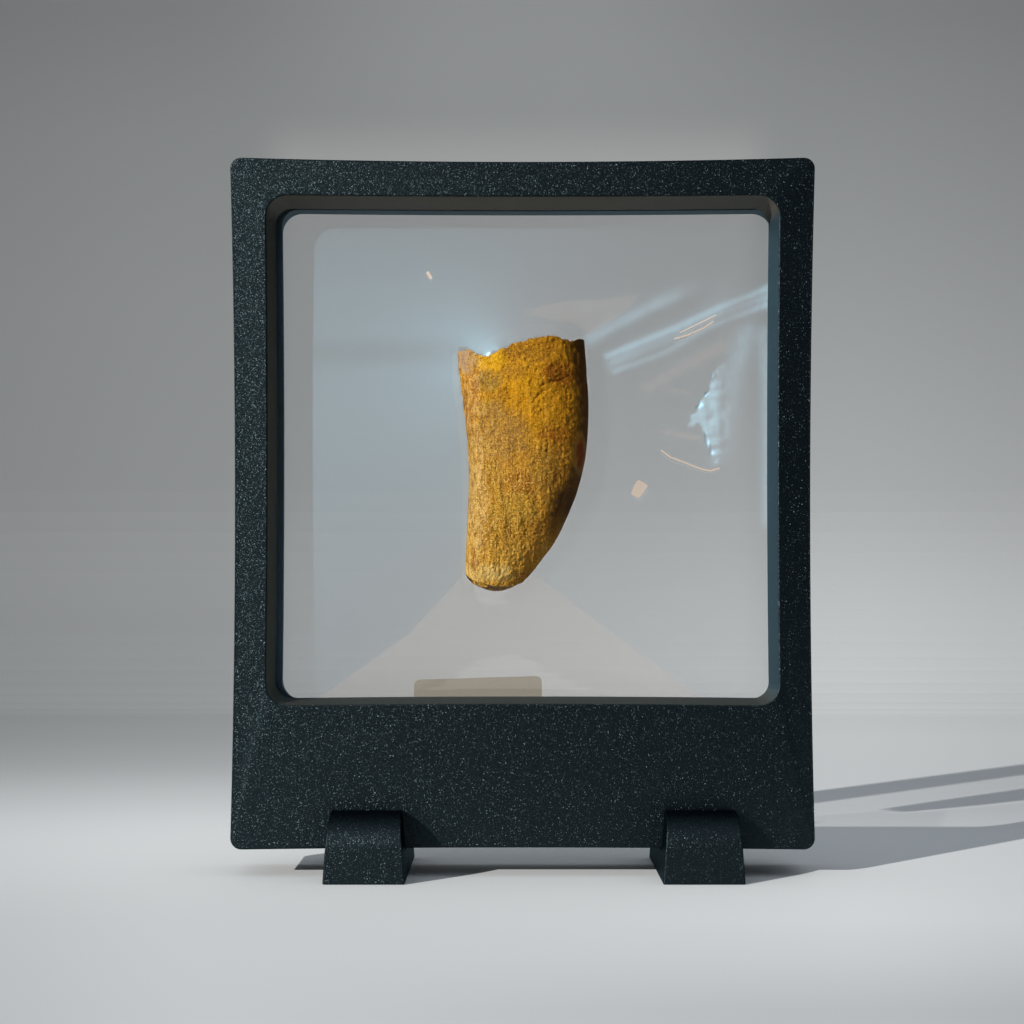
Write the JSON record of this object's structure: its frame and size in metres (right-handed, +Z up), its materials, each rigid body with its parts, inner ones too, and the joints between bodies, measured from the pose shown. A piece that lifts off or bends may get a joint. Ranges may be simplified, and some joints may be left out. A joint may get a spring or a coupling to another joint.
{
  "type": "fossil carcharodontosaurus tooth",
  "caption": "Ochre fossil theropod tooth held upright between clear stretched films in a black upright display frame standing on slotted feet.",
  "frame": {"origin": "on the surface that the feet stand on, under the middle of the frame, at the bottom centre of the bounding box", "axes": "+Z up, +X to the right as seen from the front, the front faces -Y"},
  "size_m": [0.1298, 0.04, 0.1598],
  "materials": {
    "fossil": "sandy ochre crust with fine lengthwise ridges, smoother dark enamel on the curved edge",
    "black_plastic": "fine spark-textured moulding, satin on the opening's walls",
    "clear_film": "clear, glossy and slightly hazy stretched film",
    "paper_label": "plain beige paper, blank"
  },
  "bodies": {
    "root": {"tooth": "fossil", "front_frame": "black_plastic", "back_frame": "black_plastic", "front_film": "clear_film", "back_film": "clear_film", "left_foot": "black_plastic", "right_foot": "black_plastic", "label": "paper_label"}
  },
  "joints": []
}
